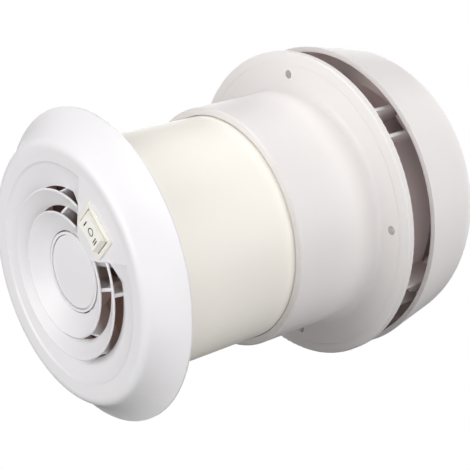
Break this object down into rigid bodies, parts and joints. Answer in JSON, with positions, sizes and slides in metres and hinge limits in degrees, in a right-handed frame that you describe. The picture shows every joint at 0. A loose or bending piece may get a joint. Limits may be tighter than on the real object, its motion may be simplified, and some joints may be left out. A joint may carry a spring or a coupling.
{
  "type": "camper roof vent fan",
  "caption": "Telescopic roof vent fan: a mushroom rain cap over a round roof flange and sleeve, with a sliding duct tube and a flared ceiling grille holding a rocker switch and an axial fan.",
  "frame": {"origin": "on the duct axis, in the flange's underside that meets the roof", "axes": "+Z along the duct, from the room out through the cap; -Y towards the switch"},
  "size_m": [0.156, 0.156, 0.2084],
  "materials": {
    "white_shell": "satin moulded white",
    "white_bezel": "smooth moulded white",
    "cream_tube": "satin extruded cream",
    "ivory_switch": "smooth ivory",
    "black_plastic": "satin moulded black",
    "black_rubber": "matt",
    "steel": "plated",
    "brass": "bright",
    "dark_iron": "matt",
    "copper": "lacquered"
  },
  "bodies": {
    "roof_base": {"roof_flange": "white_shell", "mushroom_cap": "white_shell"},
    "ceiling_unit": {"inner_tube": "cream_tube", "ceiling_grille": "white_bezel", "centre_badge": "white_bezel", "supply_grommet": "black_rubber", "switch_housing": "ivory_switch", "switch_terminals": "brass", "motor_bracket": "black_plastic", "bracket_screws": "steel", "motor_screws": "steel", "motor_can": "steel", "motor_end_cap": "black_plastic", "motor_magnets": "dark_iron", "motor_bushes": "brass", "motor_brushes": "dark_iron", "motor_terminals": "brass", "motor_leads": "black_rubber"},
    "rotor": {"motor_shaft": "steel", "armature_core": "dark_iron", "armature_winding": "copper", "commutator": "brass", "thrust_washers": "steel", "impeller": "black_plastic", "impeller_clip": "steel"},
    "rocker": {"switch_rocker": "ivory_switch", "switch_plungers": "brass", "plunger_springs": "steel"},
    "switch_contacts": {"contact_bars": "brass"}
  },
  "joints": [
    {"name": "telescope", "type": "slide", "parent": "roof_base", "child": "ceiling_unit", "axis": [0, 0, 1], "range_m": [-0.005, 0.055]},
    {"name": "fan_spin", "type": "hinge", "parent": "ceiling_unit", "child": "rotor", "pos_m": [0, 0, -0.0659], "axis": [0, 0, 1], "continuous": true},
    {"name": "rocker_tilt", "type": "hinge", "parent": "ceiling_unit", "child": "rocker", "pos_m": [0, -0.0383, -0.135], "axis": [0, 1, 0], "range_deg": [-11, 11]},
    {"name": "contact_tilt", "type": "hinge", "parent": "ceiling_unit", "child": "switch_contacts", "pos_m": [0, -0.0383, -0.1271], "axis": [0, 1, 0], "range_deg": [-7, 7]}
  ],
  "couplings": [
    {"joint": "contact_tilt", "follows": "rocker_tilt", "ratio": -0.6}
  ]
}
